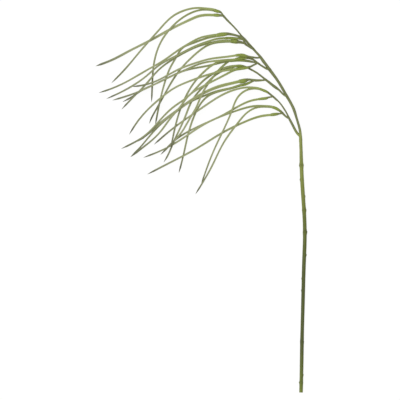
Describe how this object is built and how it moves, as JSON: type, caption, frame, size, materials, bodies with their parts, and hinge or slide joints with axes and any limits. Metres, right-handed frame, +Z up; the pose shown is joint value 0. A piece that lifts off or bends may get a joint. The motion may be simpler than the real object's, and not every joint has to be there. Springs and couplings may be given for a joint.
{
  "type": "pencil grass stem",
  "caption": "Cut spray of pencil grass lying flat: a knotted green stem that forks into thin branches, each ending in swollen sheaths with long drooping blades.",
  "frame": {"origin": "centre of the spray's bounding rectangle on the surface that it lies on", "axes": "+Y along the stem, from its cut end to its head; +Z up, away from the surface; the blades arch towards -X"},
  "size_m": [0.4235, 0.7704, 0.0502],
  "materials": {
    "stem": "satin dull olive green, darker between the knots",
    "branch": "satin dark olive green",
    "sheath": "satin bright yellow green",
    "blade": "satin grey green with darker tips"
  },
  "bodies": {
    "root": {"stem": "stem", "rachis": "branch", "branch_middle": "branch", "branch_side": "branch", "branch_lower": "branch", "branch_left": "branch", "branch_upper": "branch", "sheath_01": "sheath", "sheath_02": "sheath", "sheath_03": "sheath", "sheath_04": "sheath", "sheath_05": "sheath", "sheath_06": "sheath", "sheath_07": "sheath", "sheath_09": "sheath", "sheath_08": "sheath", "sheath_10": "sheath", "sheath_11": "sheath", "sheath_12": "sheath", "sheath_13": "sheath", "sheath_14": "sheath", "sheath_15": "sheath", "sheath_16": "sheath", "sheath_17": "sheath", "blade_01a": "blade", "blade_01b": "blade", "blade_02": "blade", "blade_03a": "blade", "blade_03b": "blade", "blade_04": "blade", "blade_05": "blade", "blade_06": "blade", "blade_07": "blade", "blade_08": "blade", "blade_09a": "blade", "blade_09b": "blade", "blade_09c": "blade", "blade_10a": "blade", "blade_10b": "blade", "blade_11a": "blade", "blade_11b": "blade", "blade_12": "blade", "blade_13a": "blade", "blade_13b": "blade", "blade_14a": "blade", "blade_14b": "blade", "blade_15": "blade", "blade_16a": "blade", "blade_16b": "blade", "blade_17": "blade"}
  },
  "joints": []
}
